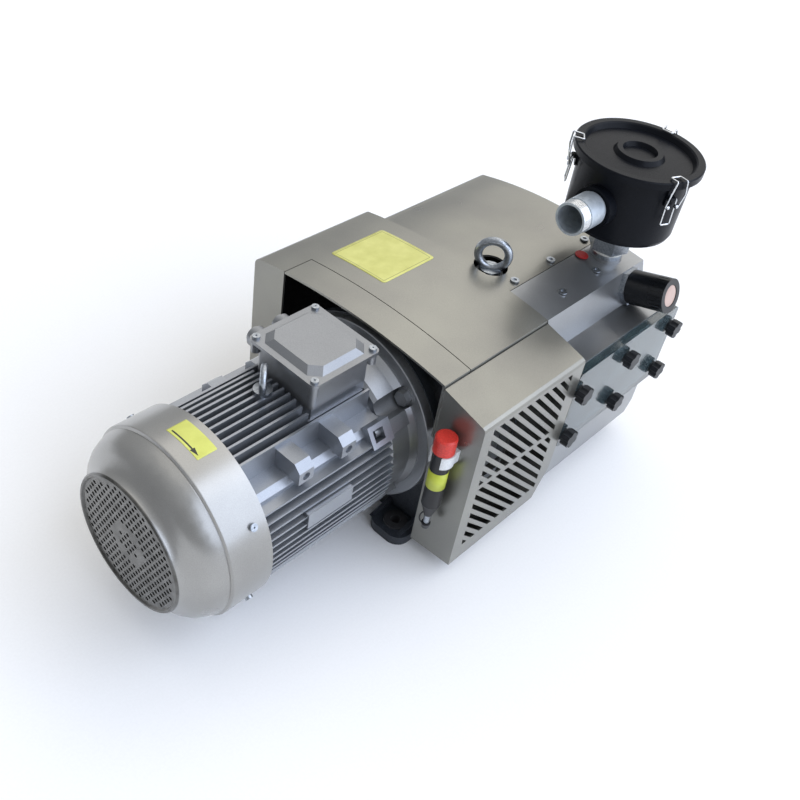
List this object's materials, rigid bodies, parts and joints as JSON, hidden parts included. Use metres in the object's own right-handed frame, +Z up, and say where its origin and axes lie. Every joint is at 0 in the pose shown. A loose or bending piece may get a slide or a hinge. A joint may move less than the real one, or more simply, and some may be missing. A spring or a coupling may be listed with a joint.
{
  "type": "oil-free rotary vane vacuum pump",
  "caption": "Oil-free rotary vane vacuum pump: finned flange motor, sheet hood with louvred side cover, clear filter cover, suction filter canister and regulating valve.",
  "frame": {"origin": "centre of the four foot bolt holes, on the floor under the feet", "axes": "+X along the shaft from the motor to the pump, +Z up, the louvred cover on the -Y side"},
  "size_m": [0.8186, 0.4035, 0.4505],
  "materials": {
    "silver_paint": "satin silver-grey enamel",
    "housing_paint": "satin grey enamel",
    "dark_casting": "black painted casting",
    "bare_steel": "turned steel",
    "zinc_steel": "bright zinc plate",
    "copper_winding": "varnished winding",
    "black_paint": "satin black enamel",
    "clear_plastic": "clear moulded plastic",
    "dark_plastic": "moulded dark plastic",
    "valve_plastic": "moulded black plastic",
    "rubber": "moulded rubber",
    "carbon": "machined carbon",
    "filter_paper": "pleated filter paper",
    "red_plastic": "moulded red plastic",
    "white_plastic": "moulded white plastic"
  },
  "bodies": {
    "pump": {"fan_cowl": "silver_paint", "m5_screws": "zinc_steel", "motor_rear_shield": "silver_paint", "motor_frame": "silver_paint", "stator_core": "bare_steel", "stator_windings": "copper_winding", "ball_bearings": "bare_steel", "motor_flange_shield": "silver_paint", "flange_bolts": "zinc_steel", "terminal_box": "silver_paint", "terminal_lid": "silver_paint", "gland_plugs": "dark_plastic", "motor_lifting_eye": "zinc_steel", "adaptor_housing": "dark_casting", "foot_bushings": "rubber", "end_plate_front": "dark_casting", "pump_cylinder": "dark_casting", "end_plate_rear": "dark_casting", "hood_main": "silver_paint", "hood_front_strip": "silver_paint", "louvre_cover": "silver_paint", "filter_housing": "housing_paint", "hood_screws": "zinc_steel", "hood_lifting_eye": "zinc_steel", "filter_cartridges": "filter_paper", "clear_cover": "clear_plastic", "cover_studs": "zinc_steel", "valve_nipple": "valve_plastic", "valve_body": "valve_plastic", "canister_nipple": "zinc_steel", "canister_body": "black_paint", "canister_lid": "black_paint", "inlet_tube": "zinc_steel", "filter_element": "filter_paper", "clip_brackets": "black_paint", "grease_gun_clip": "white_plastic"},
    "shaft": {"motor_fan": "bare_steel", "motor_shaft": "bare_steel", "rotor_core": "bare_steel", "coupling_hubs": "bare_steel", "coupling_spider": "rubber", "cooling_fan": "bare_steel", "pump_rotor": "bare_steel", "vanes": "carbon"},
    "gun": {"grease_gun": "dark_plastic", "grease_gun_cap": "red_plastic", "grease_gun_nozzle": "zinc_steel"},
    "valve_cap": {"valve_knob": "valve_plastic"},
    "cover_knob_1_body": {"cover_knob_1": "dark_plastic"},
    "cover_knob_2_body": {"cover_knob_2": "dark_plastic"},
    "cover_knob_3_body": {"cover_knob_3": "dark_plastic"},
    "cover_knob_4_body": {"cover_knob_4": "dark_plastic"},
    "cover_knob_5_body": {"cover_knob_5": "dark_plastic"},
    "cover_knob_6_body": {"cover_knob_6": "dark_plastic"},
    "clip_lever_1_body": {"clip_lever_1": "zinc_steel"},
    "clip_lever_2_body": {"clip_lever_2": "zinc_steel"},
    "clip_lever_3_body": {"clip_lever_3": "zinc_steel"},
    "clip_bail_1_body": {"clip_bail_1": "zinc_steel"},
    "clip_bail_2_body": {"clip_bail_2": "zinc_steel"},
    "clip_bail_3_body": {"clip_bail_3": "zinc_steel"}
  },
  "joints": [
    {"name": "shaft_spin", "type": "hinge", "parent": "pump", "child": "shaft", "pos_m": [-0.188, 0, 0.155], "axis": [1, 0, 0], "continuous": true},
    {"name": "knob_1_turn", "type": "hinge", "parent": "pump", "child": "cover_knob_1_body", "pos_m": [0.023, -0.199, 0.203], "axis": [0, -1, 0], "continuous": true},
    {"name": "knob_2_turn", "type": "hinge", "parent": "pump", "child": "cover_knob_2_body", "pos_m": [0.137, -0.199, 0.203], "axis": [0, -1, 0], "continuous": true},
    {"name": "knob_3_turn", "type": "hinge", "parent": "pump", "child": "cover_knob_3_body", "pos_m": [0.25, -0.199, 0.203], "axis": [0, -1, 0], "continuous": true},
    {"name": "knob_4_turn", "type": "hinge", "parent": "pump", "child": "cover_knob_4_body", "pos_m": [0.023, -0.199, 0.126], "axis": [0, -1, 0], "continuous": true},
    {"name": "knob_5_turn", "type": "hinge", "parent": "pump", "child": "cover_knob_5_body", "pos_m": [0.137, -0.199, 0.126], "axis": [0, -1, 0], "continuous": true},
    {"name": "knob_6_turn", "type": "hinge", "parent": "pump", "child": "cover_knob_6_body", "pos_m": [0.25, -0.199, 0.126], "axis": [0, -1, 0], "continuous": true},
    {"name": "valve_turn", "type": "hinge", "parent": "pump", "child": "valve_cap", "pos_m": [0.201, -0.18094, 0.27403], "axis": [0, -0.9537, 0.3006], "continuous": true},
    {"name": "clip_1_lever", "type": "hinge", "parent": "pump", "child": "clip_lever_1_body", "pos_m": [0.2806, -0.08083, 0.421], "axis": [0.0698, -0.9976, 0], "range_deg": [0, 110]},
    {"name": "clip_1_bail", "type": "hinge", "parent": "clip_lever_1_body", "child": "clip_bail_1_body", "pos_m": [0.28379, -0.08061, 0.412], "axis": [0.0698, -0.9976, 0], "range_deg": [-154, 0]},
    {"name": "clip_2_lever", "type": "hinge", "parent": "pump", "child": "clip_lever_2_body", "pos_m": [0.15171, -0.02073, 0.421], "axis": [0.809, 0.5878, 0], "range_deg": [0, 110]},
    {"name": "clip_2_bail", "type": "hinge", "parent": "clip_lever_2_body", "child": "clip_bail_2_body", "pos_m": [0.14983, -0.01814, 0.412], "axis": [0.809, 0.5878, 0], "range_deg": [-154, 0]},
    {"name": "clip_3_lever", "type": "hinge", "parent": "pump", "child": "clip_lever_3_body", "pos_m": [0.16904, -0.16188, 0.421], "axis": [-0.9272, 0.3746, 0], "range_deg": [0, 110]},
    {"name": "clip_3_bail", "type": "hinge", "parent": "clip_lever_3_body", "child": "clip_bail_3_body", "pos_m": [0.16785, -0.16485, 0.412], "axis": [-0.9272, 0.3746, 0], "range_deg": [-154, 0]},
    {"name": "gun_lift", "type": "slide", "parent": "pump", "child": "gun", "axis": [0, 0, 1], "range_m": [0, 0.13]}
  ],
  "couplings": [
    {"joint": "clip_1_bail", "follows": "clip_1_lever", "ratio": -1.4},
    {"joint": "clip_2_bail", "follows": "clip_2_lever", "ratio": -1.4},
    {"joint": "clip_3_bail", "follows": "clip_3_lever", "ratio": -1.4}
  ]
}
